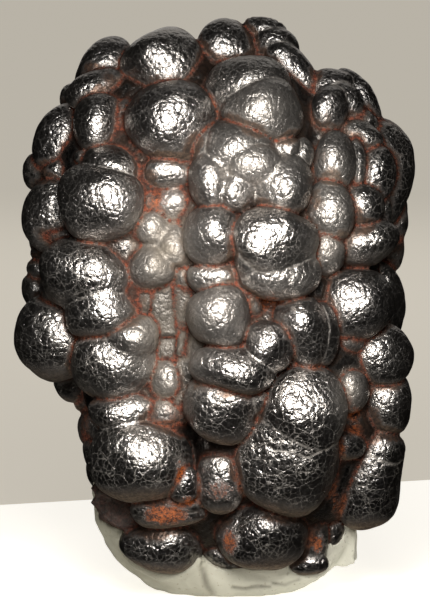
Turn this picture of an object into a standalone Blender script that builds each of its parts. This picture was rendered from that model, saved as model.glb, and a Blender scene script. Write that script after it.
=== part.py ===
"""Kidney-ore hematite, a dark mass of rounded lumps, standing upright in a pad of mounting putty.

The lumps are placed on the stone's face, as seen square on: x to the right, z up the face and
f out of it, all in millimetres. The face then leans back a little and is set down in the putty,
with the origin at the middle of the putty's flat underside and +Z up. Meshes are in metres.
"""
import math
import random

import bmesh
import bpy
from mathutils import Matrix, Vector

MM = 0.001

# How the stone stands: the lean of its face, and the face point (x, y, z) that the origin is under.
LEAN = math.radians(10.0)
STAND = Vector((2.0, 12.0, 1.0))

# The stone's outline about its middle: the radius every 15 degrees, anticlockwise from +x.
MIDDLE = (1.0, 76.0)
RIM = [47, 47, 56, 62, 64, 67, 68, 68, 68, 62, 55, 49, 49, 51, 46, 50, 61, 70, 70, 71, 69, 63, 56, 50]
RIM_STEP = math.radians(15.0)
SKIN = 6.0
FRONT_DEPTH = 25.0
BACK_DEPTH = 34.0

# Lumps: how much wider each is than its visible outline, and how much of its radius stands proud.
GROW = 1.22
DOME = 0.6
LONGEST_DEPTH = 1.15

# Hollows and clefts in the core: x, z, half width, half height, depth.
DENTS = [
    (-11.0, 78.0, 7.5, 24.0, 8.0),
    (24.5, 114.0, 2.6, 22.0, 3.0),
    (-0.5, 126.0, 2.2, 12.0, 3.5),
    (-5.5, 42.0, 2.4, 14.0, 5.0),
    (34.0, 82.5, 9.0, 3.0, 4.0),
    (13.5, 75.0, 4.0, 3.5, 3.0),
]

# Each lump: x, z, half length along its turn, half width across it, turn in degrees, proud.
LEFT_RIDGE = [
    (-28.6, 134.0, 6.3, 4.0, 60, 0), (-31.2, 128.0, 6.8, 4.6, 25, 0), (-36.5, 123.5, 3.5, 3.5, 0, -3),
    (-30.2, 119.3, 5.4, 6.4, 0, 0), (-40.3, 116.5, 7.6, 3.8, 60, 0), (-43.0, 108.0, 5.0, 5.2, 0, -1),
    (-38.5, 107.3, 4.5, 2.6, 0, -2), (-43.3, 96.5, 4.2, 7.4, 0, 0), (-29.6, 99.8, 10.2, 9.4, 0, 3),
    (-26.3, 108.3, 5.6, 4.6, -25, 1), (-32.8, 110.2, 2.0, 1.8, 0, -1), (-36.8, 90.3, 5.2, 3.0, 10, -2),
    (-42.3, 87.2, 3.4, 3.0, 0, -1), (-44.2, 82.3, 2.6, 3.0, 0, -1), (-45.0, 76.8, 3.0, 3.8, 0, -1),
    (-31.5, 80.8, 11.2, 9.0, -15, 3), (-39.8, 78.6, 4.5, 5.8, 10, 1.5), (-28.3, 71.6, 8.6, 5.8, 0, 2.5),
    (-41.9, 66.6, 7.6, 8.8, 10, 1), (-25.8, 59.8, 10.0, 8.8, -10, 2), (-21.0, 65.5, 5.0, 4.6, 30, 3),
    (-35.0, 54.2, 4.5, 4.0, -35, -2),
]
CROWN = [
    (-13.6, 133.0, 9.9, 9.0, 0, 0), (-5.5, 136.2, 2.5, 4.5, 30, -3), (-11.5, 121.0, 10.0, 9.4, 0, 3),
    (-23.3, 116.5, 2.3, 6.0, 0, -3), (-11.3, 107.7, 7.2, 4.8, 0, 0), (3.0, 138.0, 8.0, 6.4, 20, -1),
    (12.4, 143.6, 5.0, 4.6, 0, -3), (15.4, 139.6, 5.2, 4.6, -20, -1), (19.2, 135.3, 5.8, 3.6, -40, -1),
    (21.5, 132.5, 3.0, 3.0, 0, -1.5), (8.6, 127.3, 9.8, 8.6, 0, 2.5), (12.6, 123.2, 9.2, 6.9, 0, 5.5),
]
CENTRE_CLUSTER = [
    (9.0, 106.0, 12.5, 9.5, 0, -1.5), (13.0, 88.0, 10.5, 7.5, 0, -1),
    (7.0, 111.8, 6.8, 6.0, 0, 5), (11.2, 108.2, 4.8, 3.6, 0, 7.5), (15.2, 102.3, 7.6, 6.4, 0, 6.5),
    (17.8, 106.8, 4.2, 4.2, 0, 5.5), (-1.5, 111.0, 3.6, 5.5, 20, 3), (1.8, 107.6, 3.2, 3.2, 0, 5),
    (-0.8, 102.3, 5.2, 5.6, 0, 5), (5.8, 102.0, 4.4, 5.2, 0, 6.5), (20.8, 111.0, 3.0, 5.6, 0, 2),
    (-0.3, 90.8, 5.8, 6.8, 0, 4), (13.2, 90.2, 9.2, 6.8, 0, 7), (7.6, 86.2, 2.8, 4.0, 0, 6),
    (14.2, 85.0, 9.6, 7.6, 0, 5), (20.5, 90.5, 4.0, 5.5, 0, 5.5),
]
RIGHT_RIDGE = [
    (32.8, 123.8, 9.2, 7.6, -45, -5), (32.5, 124.0, 7.5, 5.4, -45, -2), (29.0, 122.2, 3.9, 5.4, 8, 0.5),
    (36.8, 121.0, 2.6, 2.1, 0, -1), (33.8, 119.4, 2.8, 3.4, -20, 0), (37.8, 115.6, 4.8, 4.2, -30, 0),
    (41.6, 107.0, 7.4, 13.2, 0, -4), (29.3, 109.2, 4.2, 6.0, 0, 1.5), (34.4, 108.6, 2.4, 5.0, 0, 0),
    (39.6, 107.6, 5.2, 5.8, 0, 1), (29.0, 98.8, 4.0, 5.0, 0, 2), (28.3, 95.6, 4.9, 5.5, 0, 0.5),
    (36.6, 98.6, 4.6, 5.0, 0, 2), (42.0, 99.2, 2.4, 3.2, 0, 0), (45.2, 99.5, 2.2, 3.8, 0, -1),
    (43.6, 90.5, 3.2, 5.6, 0, -2), (37.2, 89.6, 7.4, 5.6, 0, 3), (36.5, 73.0, 8.2, 8.9, 0, 3),
    (33.6, 66.0, 3.4, 3.4, 0, 2.5), (44.0, 75.5, 3.0, 8.4, 3, -2), (42.4, 81.5, 2.2, 3.0, 0, -2),
    (43.0, 61.0, 7.2, 7.0, 0, 2), (43.0, 48.8, 6.7, 7.4, 0, 2),
]
HOLLOW_LUMPS = [
    (-9.3, 98.3, 5.6, 5.2, 0, -1), (-16.2, 92.0, 4.8, 4.8, 0, 0), (-10.0, 87.2, 4.8, 5.4, 0, 1),
    (-15.4, 84.0, 5.2, 5.4, 0, 2), (-16.5, 99.5, 4.0, 4.4, 0, -2), (-6.8, 80.5, 3.4, 4.2, 0, 0),
    (-12.3, 54.0, 4.5, 5.8, 0, -1), (-12.0, 46.3, 4.6, 4.6, 0, -1), (27.2, 87.0, 4.2, 4.6, 0, 1),
    (34.0, 52.4, 3.2, 5.0, 0, 1), (30.8, 59.0, 3.0, 3.2, 0, 0),
]
LOWER_LUMPS = [
    (0.6, 80.3, 5.6, 4.4, -20, 1), (1.2, 71.4, 6.8, 6.9, 0, 4.5), (8.9, 75.4, 4.6, 2.3, -60, 1),
    (4.6, 58.8, 8.6, 6.8, -10, 6), (12.9, 63.8, 4.9, 5.3, 20, 5), (2.4, 50.6, 9.0, 8.4, 10, 3),
    (21.8, 68.2, 5.6, 8.2, 15, 5), (26.4, 66.5, 3.6, 6.2, 5, 3.5), (20.8, 47.2, 10.6, 11.0, 0, 7),
    (12.2, 33.6, 8.2, 6.6, 0, 7), (24.0, 33.4, 6.4, 5.6, 10, 6.5), (17.6, 33.0, 12.8, 11.2, 0, 4.5),
    (40.0, 36.8, 6.0, 6.4, 0, 2), (38.8, 31.5, 7.0, 5.5, 0, 2), (38.0, 25.8, 7.2, 5.6, 0, 1.5),
    (37.2, 29.0, 8.0, 12.0, -10, 0), (32.0, 39.5, 3.6, 4.0, 30, 0), (-23.0, 47.5, 7.5, 4.6, 0, 2),
    (-19.3, 35.8, 12.0, 11.0, -8, 5), (-31.7, 42.0, 2.2, 9.0, 0, -3), (-25.5, 24.5, 6.5, 4.5, -35, -5),
    (-13.3, 13.3, 9.3, 6.8, 0, 4), (-13.0, 22.3, 6.2, 3.6, 0, 0), (-8.0, 24.8, 4.0, 2.2, 0, 1),
    (-7.5, 29.6, 3.2, 2.8, 0, 0), (1.3, 31.5, 4.6, 7.0, -10, 1), (11.5, 16.6, 9.8, 7.4, -8, 3.5),
    (3.0, 9.0, 4.2, 2.8, -30, 3.5), (24.5, 15.5, 2.8, 4.6, 0, 2), (24.3, 8.8, 3.2, 2.2, 0, 4),
    (28.8, 16.5, 2.8, 2.6, 0, 1),
]
LUMPS = LEFT_RIDGE + CROWN + CENTRE_CLUSTER + RIGHT_RIDGE + HOLLOW_LUMPS + LOWER_LUMPS

# Broken columns in the hollow: x, z, f, half width, half height, half depth, turn in degrees.
COLUMNS = [
    (-12.3, 72.0, 13.5, 2.8, 5.6, 5.0, 2.0),
    (-11.6, 64.0, 12.5, 2.6, 3.2, 5.0, -4.0),
    (-7.6, 73.2, 12.0, 2.2, 4.6, 5.0, 8.0),
    (-7.2, 66.0, 11.5, 1.8, 3.6, 5.0, 3.0),
    (-18.0, 76.0, 14.0, 2.6, 4.0, 5.0, -12.0),
]

# Lumps of the sides, in rings behind the face: f, share of the outline, number, smallest and largest.
SIDE_RINGS = [(-9.0, 1.0, 26, 6.0, 9.0), (-21.0, 0.95, 24, 6.0, 9.5)]
SIDE_INSET = 1.2
SIDE_WANDER = 2.0
SIDE_SEED = 7

# Broken faces of the back: a point (x, f, z) and the way that the face looks (x, f, z).
BREAKS = [
    ((0.0, -28.0, 80.0), (0.05, -1.0, 0.06)),
    ((20.0, -26.0, 104.0), (0.30, -1.0, 0.35)),
    ((-18.0, -25.5, 108.0), (-0.40, -1.0, 0.22)),
    ((22.0, -25.5, 50.0), (0.38, -1.0, -0.28)),
    ((-20.0, -26.5, 56.0), (-0.28, -1.0, -0.30)),
    ((34.0, -20.0, 70.0), (0.80, -1.0, -0.10)),
    ((-34.0, -21.0, 84.0), (-0.85, -1.0, 0.12)),
    ((4.0, -20.0, 124.0), (0.10, -1.0, 0.85)),
    ((0.0, -24.5, 24.0), (-0.10, -1.0, -0.50)),
]
FOOT_HEIGHT = 4.0

# Meshing: the grid that melts the stone's shapes into one, its final triangles, and the balls' fineness.
MELT_GRID = 1.2
STONE_TRIANGLES = 7600
CORE_SEGMENTS = 72
CORE_RINGS = 48
LUMP_FINENESS = 3
PAD_FINENESS = 4
CUT_TOLERANCE = 1e-7

# Putty: the pad's half width, its half depth in front and behind, and how far its ball dips under the base.
PAD_WIDTH = 32.5
PAD_FRONT = 17.0
PAD_BACK = 26.0
PAD_FULLNESS = 0.7
PAD_DIP = 2.5
# The pad's dished top: its height in front, its rise to the sides, its lean to one side, its rise behind
# and the crown that it has over that dish.
PAD_LIP = 6.0
PAD_HORNS = 11.0
PAD_LEAN = 0.12
PAD_RISE = 0.3
PAD_CROWN = 2.0
SOCKET_GAP = 0.6

# Finishes: colour, roughness and metallic value.
STONE_FINISH = ((0.035, 0.032, 0.033), 0.22, 1.0)
PUTTY_FINISH = ((0.42, 0.43, 0.37), 0.75, 0.0)


def to_world(x, f, z):
    """Point of the face (x, f, z) in world coordinates, in metres."""
    y_out = z * math.sin(LEAN) - f * math.cos(LEAN)
    z_up = z * math.cos(LEAN) + f * math.sin(LEAN)
    return (Vector((x, y_out, z_up)) - STAND) * MM


def direction(x, f, z):
    """Direction (x, f, z) of the face, turned into world coordinates."""
    return (to_world(x, f, z) - to_world(0.0, 0.0, 0.0)).normalized()


def rim(angle):
    """Radius of the outline at an angle about the middle, by a smooth step between the listed radii."""
    place = (angle / RIM_STEP) % len(RIM)
    first = int(place)
    part = place - first
    blend = part * part * (3.0 - 2.0 * part)
    return RIM[first] * (1.0 - blend) + RIM[(first + 1) % len(RIM)] * blend


def dent(x, z):
    """Depth of the hollows and clefts at a point of the face: a sum of bell-shaped dips."""
    total = 0.0
    for at_x, at_z, half_x, half_z, depth in DENTS:
        total += depth * math.exp(-((x - at_x) / half_x) ** 2 - ((z - at_z) / half_z) ** 2)
    return total


def core_height(x, z):
    """Height of the core's front over the face plane: a dome over the outline, less the dents."""
    out_x = x - MIDDLE[0]
    out_z = z - MIDDLE[1]
    share = math.hypot(out_x, out_z) / (rim(math.atan2(out_z, out_x)) - SKIN)
    return FRONT_DEPTH * math.sqrt(max(0.0, 1.0 - share * share)) - dent(x, z)


def paint(name, colour, roughness, metallic):
    """A plain material of one colour."""
    material = bpy.data.materials.new(name)
    material.use_nodes = True
    shader = material.node_tree.nodes["Principled BSDF"]
    shader.inputs["Base Color"].default_value = (*colour, 1.0)
    shader.inputs["Roughness"].default_value = roughness
    shader.inputs["Metallic"].default_value = metallic
    return material


def add_object(name, mesh, collection):
    """An object for a mesh, linked to one collection."""
    thing = bpy.data.objects.new(name, mesh)
    collection.objects.link(thing)
    return thing


def add_core(shape):
    """The core: a ball stretched to the outline, shallower in front than behind, with the dents."""
    ball = bmesh.ops.create_uvsphere(shape, u_segments=CORE_SEGMENTS, v_segments=CORE_RINGS, radius=1.0)
    for vertex in ball["verts"]:
        side_x, side_z, height = vertex.co
        share = math.hypot(side_x, side_z)
        angle = math.atan2(side_z, side_x)
        reach = (rim(angle) - SKIN) * share
        x = MIDDLE[0] + reach * math.cos(angle)
        z = MIDDLE[1] + reach * math.sin(angle)
        depth = FRONT_DEPTH if height > 0.0 else BACK_DEPTH
        f = height * depth
        if height > 0.0:
            f -= dent(x, z)
        vertex.co = to_world(x, f, z)


def add_ellipsoid(shape, x, f, z, along, across, deep, turn):
    """One lump: a ball stretched along and across the face, turned in it, and as deep as given."""
    frame = Matrix.Translation(to_world(x, f, z)) @ Matrix.Rotation(-LEAN, 4, "X")
    size = Matrix.Diagonal((along * MM, deep * MM, across * MM, 1.0))
    place = frame @ Matrix.Rotation(-turn, 4, "Y") @ size
    bmesh.ops.create_icosphere(shape, subdivisions=LUMP_FINENESS, radius=1.0, matrix=place)


def add_face_lumps(shape):
    """The lumps of the front: wider than they look, with their tops proud of the core."""
    for x, z, along, across, turn, proud in LUMPS:
        size = math.sqrt(along * across)
        deep = min(size, LONGEST_DEPTH * min(along, across))
        out_x = x - MIDDLE[0]
        out_z = z - MIDDLE[1]
        out = math.hypot(out_x, out_z)
        edge = min(1.0, out / rim(math.atan2(out_z, out_x))) ** 4
        inward = (GROW - 1.0) * size * edge / max(out, 1.0)
        x -= out_x * inward
        z -= out_z * inward
        top = core_height(x, z) + DOME * deep + proud
        add_ellipsoid(
            shape, x, top - GROW * deep, z,
            GROW * along, GROW * across, GROW * deep, math.radians(turn),
        )


def add_side_lumps(shape):
    """The lumps round the sides, in rings behind the face, with a seeded spread of sizes."""
    spread = random.Random(SIDE_SEED)
    for f, share, count, smallest, largest in SIDE_RINGS:
        for index in range(count):
            angle = math.tau * (index + spread.uniform(0.2, 0.8)) / count
            size = spread.uniform(smallest, largest)
            reach = rim(angle) * share - size * GROW - SIDE_INSET
            x = MIDDLE[0] + reach * math.cos(angle)
            z = MIDDLE[1] + reach * math.sin(angle)
            middle = f + spread.uniform(-SIDE_WANDER, SIDE_WANDER)
            flat = size * spread.uniform(0.8, 1.0)
            turn = angle + math.pi / 2.0
            add_ellipsoid(shape, x, middle, z, GROW * size, GROW * size, GROW * flat, turn)


def add_columns(shape):
    """The broken columns that stand side by side in the hollow."""
    for x, z, f, half_x, half_z, half_f, turn in COLUMNS:
        frame = Matrix.Translation(to_world(x, f, z)) @ Matrix.Rotation(-LEAN, 4, "X")
        size = Matrix.Diagonal((2.0 * half_x * MM, 2.0 * half_f * MM, 2.0 * half_z * MM, 1.0))
        place = frame @ Matrix.Rotation(math.radians(-turn), 4, "Y") @ size
        bmesh.ops.create_cube(shape, size=1.0, matrix=place)


def keep_largest_body(shape):
    """Removes every loose body of a mesh but the one with the most faces."""
    left = set(shape.faces)
    bodies = []
    while left:
        first = left.pop()
        body = [first]
        for face in body:
            for edge in face.edges:
                for beside in edge.link_faces:
                    if beside in left:
                        left.discard(beside)
                        body.append(beside)
        bodies.append(body)
    bodies.sort(key=len)
    for body in bodies[:-1]:
        bmesh.ops.delete(shape, geom=body, context="FACES")


def cut_flat(shape, point, way):
    """Cuts off what lies past a plane and closes the cut with a flat face."""
    everything = list(shape.verts) + list(shape.edges) + list(shape.faces)
    cut = bmesh.ops.bisect_plane(
        shape, geom=everything, dist=CUT_TOLERANCE, plane_co=point, plane_no=way, clear_outer=True,
    )
    edges = [item for item in cut["geom_cut"] if isinstance(item, bmesh.types.BMEdge)]
    bmesh.ops.holes_fill(shape, edges=edges, sides=0)


def evaluated_mesh(thing):
    """The mesh that an object's modifiers give."""
    bpy.context.view_layer.update()
    graph = bpy.context.evaluated_depsgraph_get()
    return bpy.data.meshes.new_from_object(thing.evaluated_get(graph))


def build_hematite(collection):
    """The stone: core, lumps and columns melted into one solid, broken off behind and at the foot."""
    rough = bpy.data.meshes.new("hematite")
    shape = bmesh.new()
    add_core(shape)
    add_face_lumps(shape)
    add_side_lumps(shape)
    add_columns(shape)
    shape.to_mesh(rough)
    shape.free()
    stone = add_object("hematite", rough, collection)
    melt = stone.modifiers.new("melt", "REMESH")
    melt.mode = "VOXEL"
    melt.voxel_size = MELT_GRID * MM
    melted = evaluated_mesh(stone)
    stone.modifiers.clear()

    shape = bmesh.new()
    shape.from_mesh(melted)
    for point, way in BREAKS:
        cut_flat(shape, to_world(*point), direction(*way))
    cut_flat(shape, Vector((0.0, 0.0, FOOT_HEIGHT * MM)), Vector((0.0, 0.0, -1.0)))
    keep_largest_body(shape)
    bmesh.ops.triangulate(shape, faces=shape.faces[:])
    shape.to_mesh(melted)
    triangles = len(shape.faces)
    shape.free()
    stone.data = melted

    thin = stone.modifiers.new("thin", "DECIMATE")
    thin.ratio = STONE_TRIANGLES / triangles
    thin.use_collapse_triangulate = True
    stone.data = evaluated_mesh(stone)
    stone.modifiers.clear()
    stone.data.shade_smooth()
    stone.data.materials.append(paint("hematite", *STONE_FINISH))
    return stone


def add_pad(shape):
    """The pad: a ball fuller to front and back than to the sides, its lower half hung from a dished rim."""
    ball = bmesh.ops.create_icosphere(shape, subdivisions=PAD_FINENESS, radius=1.0)
    for vertex in ball["verts"]:
        side, out, up = vertex.co
        depth = PAD_BACK if out > 0.0 else PAD_FRONT
        x = side * PAD_WIDTH
        y = math.copysign(abs(out) ** PAD_FULLNESS * depth, out)
        dish = PAD_LIP + PAD_HORNS * (x / PAD_WIDTH) ** 2 - PAD_LEAN * x + PAD_RISE * (y + PAD_FRONT)
        z = dish + PAD_CROWN * up
        if up < 0.0:
            z = (dish + PAD_DIP) * (1.0 + up) - PAD_DIP
        vertex.co = Vector((x, y, z)) * MM


def build_putty(stone, collection, cutters):
    """The putty: a rounded pad with a flat underside, pressed out where the stone's foot stands in it."""
    pad = bpy.data.meshes.new("mounting_putty")
    shape = bmesh.new()
    add_pad(shape)
    cut_flat(shape, Vector((0.0, 0.0, 0.0)), Vector((0.0, 0.0, -1.0)))
    bmesh.ops.triangulate(shape, faces=shape.faces[:])
    shape.to_mesh(pad)
    shape.free()
    putty = add_object("mounting_putty", pad, collection)

    socket = add_object("socket_cutter", stone.data.copy(), cutters)
    socket.hide_render = True
    socket.display_type = "WIRE"
    swell = socket.modifiers.new("swell", "DISPLACE")
    swell.mid_level = 0.0
    swell.strength = SOCKET_GAP * MM
    press = putty.modifiers.new("press", "BOOLEAN")
    press.operation = "DIFFERENCE"
    press.object = socket
    pressed = evaluated_mesh(putty)
    putty.modifiers.clear()

    shape = bmesh.new()
    shape.from_mesh(pressed)
    keep_largest_body(shape)
    bmesh.ops.triangulate(shape, faces=shape.faces[:])
    shape.to_mesh(pressed)
    shape.free()
    putty.data = pressed
    putty.data.materials.clear()
    putty.data.materials.append(paint("putty", *PUTTY_FINISH))
    return putty


for old in list(bpy.data.objects):
    bpy.data.objects.remove(old)
specimen = bpy.data.collections.new("hematite_specimen")
helpers = bpy.data.collections.new("cutters")
bpy.context.scene.collection.children.link(specimen)
bpy.context.scene.collection.children.link(helpers)
hematite = build_hematite(specimen)
build_putty(hematite, specimen, helpers)
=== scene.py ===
import math
import random

import bpy
import numpy as np
from mathutils import Matrix, Vector


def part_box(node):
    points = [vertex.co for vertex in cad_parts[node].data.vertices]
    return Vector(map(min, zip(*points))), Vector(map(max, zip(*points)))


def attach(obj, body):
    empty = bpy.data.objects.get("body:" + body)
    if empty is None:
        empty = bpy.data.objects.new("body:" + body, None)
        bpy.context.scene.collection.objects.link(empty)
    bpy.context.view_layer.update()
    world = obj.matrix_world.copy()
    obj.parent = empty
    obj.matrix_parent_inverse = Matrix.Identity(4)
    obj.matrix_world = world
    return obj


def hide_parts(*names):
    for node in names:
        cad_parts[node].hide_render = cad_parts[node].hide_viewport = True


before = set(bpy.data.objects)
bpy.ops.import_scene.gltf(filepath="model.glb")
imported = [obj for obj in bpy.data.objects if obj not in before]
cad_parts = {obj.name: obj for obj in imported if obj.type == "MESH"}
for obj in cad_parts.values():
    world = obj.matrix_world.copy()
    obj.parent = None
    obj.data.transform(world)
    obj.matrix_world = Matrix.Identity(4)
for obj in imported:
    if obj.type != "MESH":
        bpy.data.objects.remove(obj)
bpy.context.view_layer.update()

# The stand and the view.
# The stone is seen square on to its face, which leans back a little: face points are
# x to the right, f out of the face and z up it, in millimetres, and the origin is under the putty.
MM = 0.001
LEAN = math.radians(10.0)
STAND = np.array([2.0, 12.0, 1.0])
FACE_AXES = np.array([
    [1.0, 0.0, 0.0],
    [0.0, -math.cos(LEAN), math.sin(LEAN)],
    [0.0, math.sin(LEAN), math.cos(LEAN)],
])
VIEW_HEIGHT = 151.25
VIEW_MIDDLE = (0.0, 0.0, 74.4)
VIEW_DISTANCE = 950.0


def from_face(points):
    """World points in mm from face points (x, f, z): each coordinate times its axis, less the stand."""
    return np.asarray(points) @ FACE_AXES - STAND


def to_face(points):
    """Face points (x, f, z) from world points in mm: the stand added, then measured along each axis."""
    return (np.asarray(points) + STAND) @ FACE_AXES.T


def aim(thing, eye, target):
    """Places a lamp or a camera at a face point and turns it to look at another, with +Y kept up."""
    place = Vector(from_face(eye) * MM)
    way = Vector(from_face(target) * MM) - place
    thing.matrix_world = Matrix.Translation(place) @ way.to_track_quat("-Z", "Y").to_matrix().to_4x4()


lens = bpy.data.cameras.new("camera")
lens.sensor_width = 36.0
lens.lens = lens.sensor_width * VIEW_DISTANCE / VIEW_HEIGHT
lens.clip_end = 20.0
camera = bpy.data.objects.new("camera", lens)
bpy.context.scene.collection.objects.link(camera)
aim(camera, (VIEW_MIDDLE[0], VIEW_DISTANCE, VIEW_MIDDLE[2]), VIEW_MIDDLE)
bpy.context.scene.camera = camera
bpy.context.scene.view_settings.view_transform = "Standard"


# The floor and the light.
# A plain white board on a pale grey ground, and small soft lamps near the camera, a little above it,
# with the rest of the room dim, as a glossy dark stone is lit to show its skin.
def linear(code):
    """Linear colour with alpha from an sRGB hex code such as #8a3a22."""
    parts = [int(code[i:i + 2], 16) / 255.0 for i in (1, 3, 5)]
    return [p / 12.92 if p <= 0.04045 else ((p + 0.055) / 1.055) ** 2.4 for p in parts] + [1.0]


def add(tree, kind, inputs=None, links=None, **settings):
    """Adds one node: sets its properties and input values by name or number, then links its inputs."""
    node = tree.nodes.new(kind)
    for name, value in settings.items():
        setattr(node, name, value)
    for name, value in (inputs or {}).items():
        node.inputs[name].default_value = value
    for name, source in (links or {}).items():
        tree.links.new(source, node.inputs[name])
    return node


def lamp(name, eye, target, width, height, watts, spread, colour):
    """A soft rectangular lamp at a face point, turned towards another, with a beam of so many degrees."""
    light = bpy.data.lights.new(name, "AREA")
    light.shape = "RECTANGLE"
    light.size = width * MM
    light.size_y = height * MM
    light.energy = watts
    light.spread = math.radians(spread)
    light.color = linear(colour)[:3]
    holder = bpy.data.objects.new(name, light)
    bpy.context.scene.collection.objects.link(holder)
    holder.visible_camera = False
    aim(holder, eye, target)


def sheet(name, low, high, height, turn, colour, glow):
    """A flat sheet of the stage between two corners in mm, turned about the upright; matt, with a faint
    glow of its own. Glossy rays pass it by, so that the dark skin mirrors the dim room alone."""
    corners = [(low[0], low[1]), (high[0], low[1]), (high[0], high[1]), (low[0], high[1])]
    right = math.cos(turn)
    ahead = math.sin(turn)
    points = [((x * right - y * ahead) * MM, (x * ahead + y * right) * MM, height * MM) for x, y in corners]
    mesh = bpy.data.meshes.new(name)
    mesh.from_pydata(points, [], [(0, 1, 2, 3)])
    material = bpy.data.materials.new(name)
    material.use_nodes = True
    shader = material.node_tree.nodes["Principled BSDF"]
    shader.inputs["Base Color"].default_value = linear(colour)
    shader.inputs["Roughness"].default_value = 0.8
    shader.inputs["Emission Color"].default_value = linear(glow)
    shader.inputs["Emission Strength"].default_value = 1.0
    mesh.materials.append(material)
    laid = bpy.data.objects.new(name, mesh)
    bpy.context.scene.collection.objects.link(laid)
    laid.visible_glossy = False


BOARD_BACK = 101.5
BOARD_FRONT = -38.0
BOARD_HALF = 130.0
BOARD_TURN = math.radians(14.7)
GROUND_HALF = 3000.0
GROUND_HEIGHT = -0.5
BOARD_LOW = (-BOARD_HALF, BOARD_FRONT)
BOARD_HIGH = (BOARD_HALF, BOARD_BACK)
sheet("floor_board", BOARD_LOW, BOARD_HIGH, 0.0, BOARD_TURN, "#d8d5ce", "#e8e5de")
sheet("ground", (-GROUND_HALF,) * 2, (GROUND_HALF,) * 2, GROUND_HEIGHT, 0.0, "#8f8a81", "#b8b2a6")

# Lamps: name, place and target as face points, width and height in mm, watts, spread in degrees, colour.
LAMPS = [
    ("key_high_left", (-14.0, 135.0, 138.0), (0.0, 15.0, 84.0), 30.0, 24.0, 0.044, 90.0, "#fff9f2"),
    ("key_high_right", (16.0, 140.0, 128.0), (0.0, 15.0, 80.0), 30.0, 24.0, 0.044, 90.0, "#fff9f2"),
    ("key_low", (2.0, 135.0, 88.0), (0.0, 15.0, 70.0), 38.0, 22.0, 0.034, 90.0, "#fff9f2"),
    ("fill_front", (0.0, 620.0, 330.0), (0.0, 0.0, 70.0), 260.0, 160.0, 0.46, 90.0, "#f4f2ee"),
    ("behind", (40.0, -420.0, 420.0), (0.0, -20.0, 60.0), 500.0, 500.0, 0.8, 180.0, "#f4f2ee"),
]
for row in LAMPS:
    lamp(*row)
room = bpy.data.worlds.new("room")
room.use_nodes = True
room.node_tree.nodes["Background"].inputs["Color"].default_value = linear("#8c857d")
room.node_tree.nodes["Background"].inputs["Strength"].default_value = 0.035
bpy.context.scene.world = room


# The stone's form.
# Kidney ore grew outwards from many points at once, so its face is a pack of rounded lumps that meet
# in creases. It is broken off behind and at the foot, where it shows fibres that ran out to the lumps.
MIDDLE = (1.0, 76.0)
RIM = np.array([
    47, 47, 56, 62, 64, 67, 68, 68, 68, 62, 55, 49, 49, 51, 46, 50, 61, 70, 70, 71, 69, 63, 56, 50,
], dtype=float)
RIM_STEP = math.radians(15.0)
SKIN = 6.0
FRONT_DEPTH = 25.0
BACK_DEPTH = 34.0
GROW_SHARE = 0.30
GROW_LEAST = 1.75
DOME = 0.6
LONGEST_DEPTH = 1.15

# Hollows and clefts in the core: x, z, half width, half height, depth.
DENTS = [
    (-11.0, 78.0, 7.5, 24.0, 8.0),
    (24.5, 114.0, 2.6, 22.0, 3.0),
    (-0.5, 126.0, 2.2, 12.0, 3.5),
    (-5.5, 42.0, 2.4, 14.0, 5.0),
    (34.0, 82.5, 9.0, 3.0, 4.0),
    (13.5, 75.0, 4.0, 3.5, 3.0),
]

# Lumps that stand alone, and colonies that grew into one another, each with how softly they join, in mm.
# Each lump: x, z, half length along its turn, half width across it, turn in degrees, proud.
LEFT_RIDGE = [
    (0.0, [(-28.4, 134.6, 7.0, 4.6, 48, 1)]),
    (0.0, [(-29.8, 127.8, 5.8, 3.8, 15, 1)]),
    (0.0, [(-35.4, 124.6, 3.0, 4.5, 20, -3)]),
    (0.0, [(-28.8, 118.8, 5.2, 6.0, 0, 1.5)]),
    (0.0, [(-39.2, 115.8, 7.8, 5.2, 58, 0)]),
    (2.2, [(-43.4, 108.0, 4.4, 4.8, 0, 0.5), (-38.5, 107.3, 4.5, 2.6, 0, -1.5)]),
    (0.0, [(-41.2, 96.8, 6.2, 8.0, 0, 1.5)]),
    (0.0, [(-32.4, 110.2, 2.2, 1.8, 0, 1)]),
    (0.3, [(-28.0, 99.2, 9.6, 8.6, 0, 4), (-25.4, 107.8, 6.0, 4.8, -30, 1.5)]),
    (0.0, [(-36.4, 90.4, 5.8, 2.8, -12, -1)]),
    (0.0, [(-42.3, 87.2, 3.4, 3.0, 0, -1)]),
    (0.0, [(-44.2, 82.3, 2.6, 3.0, 0, -1)]),
    (0.0, [(-45.0, 76.8, 3.0, 3.8, 0, -1)]),
    (1.8, [
        (-31.5, 81.2, 10.6, 8.4, -15, 3), (-39.2, 78.8, 4.2, 6.0, 10, 1), (-27.9, 71.6, 7.4, 5.6, 0, 2.5),
    ]),
    (0.0, [(-40.2, 65.6, 9.0, 9.4, 8, 0.5)]),
    (3.0, [(-25.3, 59.2, 9.6, 8.6, -10, 2), (-20.2, 66.4, 5.0, 4.2, 20, 3)]),
    (0.0, [(-35.0, 54.2, 4.5, 4.0, -35, -2)]),
]
CROWN = [
    (0.0, [(-13.6, 133.6, 9.5, 8.7, 0, 0)]),
    (0.0, [(-5.5, 136.2, 2.5, 4.5, 30, -3)]),
    (0.0, [(-10.8, 119.0, 9.8, 10.0, 0, 3)]),
    (0.0, [(-22.6, 116.0, 2.4, 6.5, 0, -2)]),
    (0.0, [(-11.5, 106.6, 6.4, 4.2, 0, 0.5)]),
    (0.0, [(2.9, 138.0, 6.4, 6.8, 15, -1)]),
    (0.5, [
        (12.9, 143.8, 4.6, 3.2, 0, 1.5), (15.0, 139.6, 5.2, 4.2, -20, 3), (19.6, 133.6, 7.0, 3.4, -38, 1),
    ]),
    (0.6, [(8.8, 126.8, 9.2, 8.2, 0, 2.5), (12.0, 121.6, 8.4, 6.6, 0, 6.0)]),
]
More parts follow.
